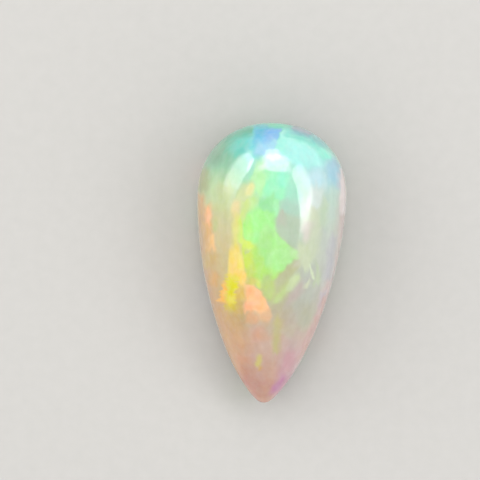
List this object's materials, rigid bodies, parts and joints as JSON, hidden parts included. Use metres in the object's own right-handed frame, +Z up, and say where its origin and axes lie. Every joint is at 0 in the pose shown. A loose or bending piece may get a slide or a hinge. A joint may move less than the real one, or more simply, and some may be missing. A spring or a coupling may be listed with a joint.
{
  "type": "precious opal cabochon",
  "caption": "Long pear-shaped precious opal cabochon with a high polished dome, a soft girdle and a flat back.",
  "frame": {"origin": "on the flat back, under the middle of the stone's length and width", "axes": "+Z up out of the dome, away from the flat back; +Y along the stone towards its round head, so the tip points to -Y; +X across"},
  "size_m": [0.01, 0.0188, 0.0064],
  "materials": {
    "opal": "polished"
  },
  "bodies": {
    "root": {"cabochon": "opal"}
  },
  "joints": []
}
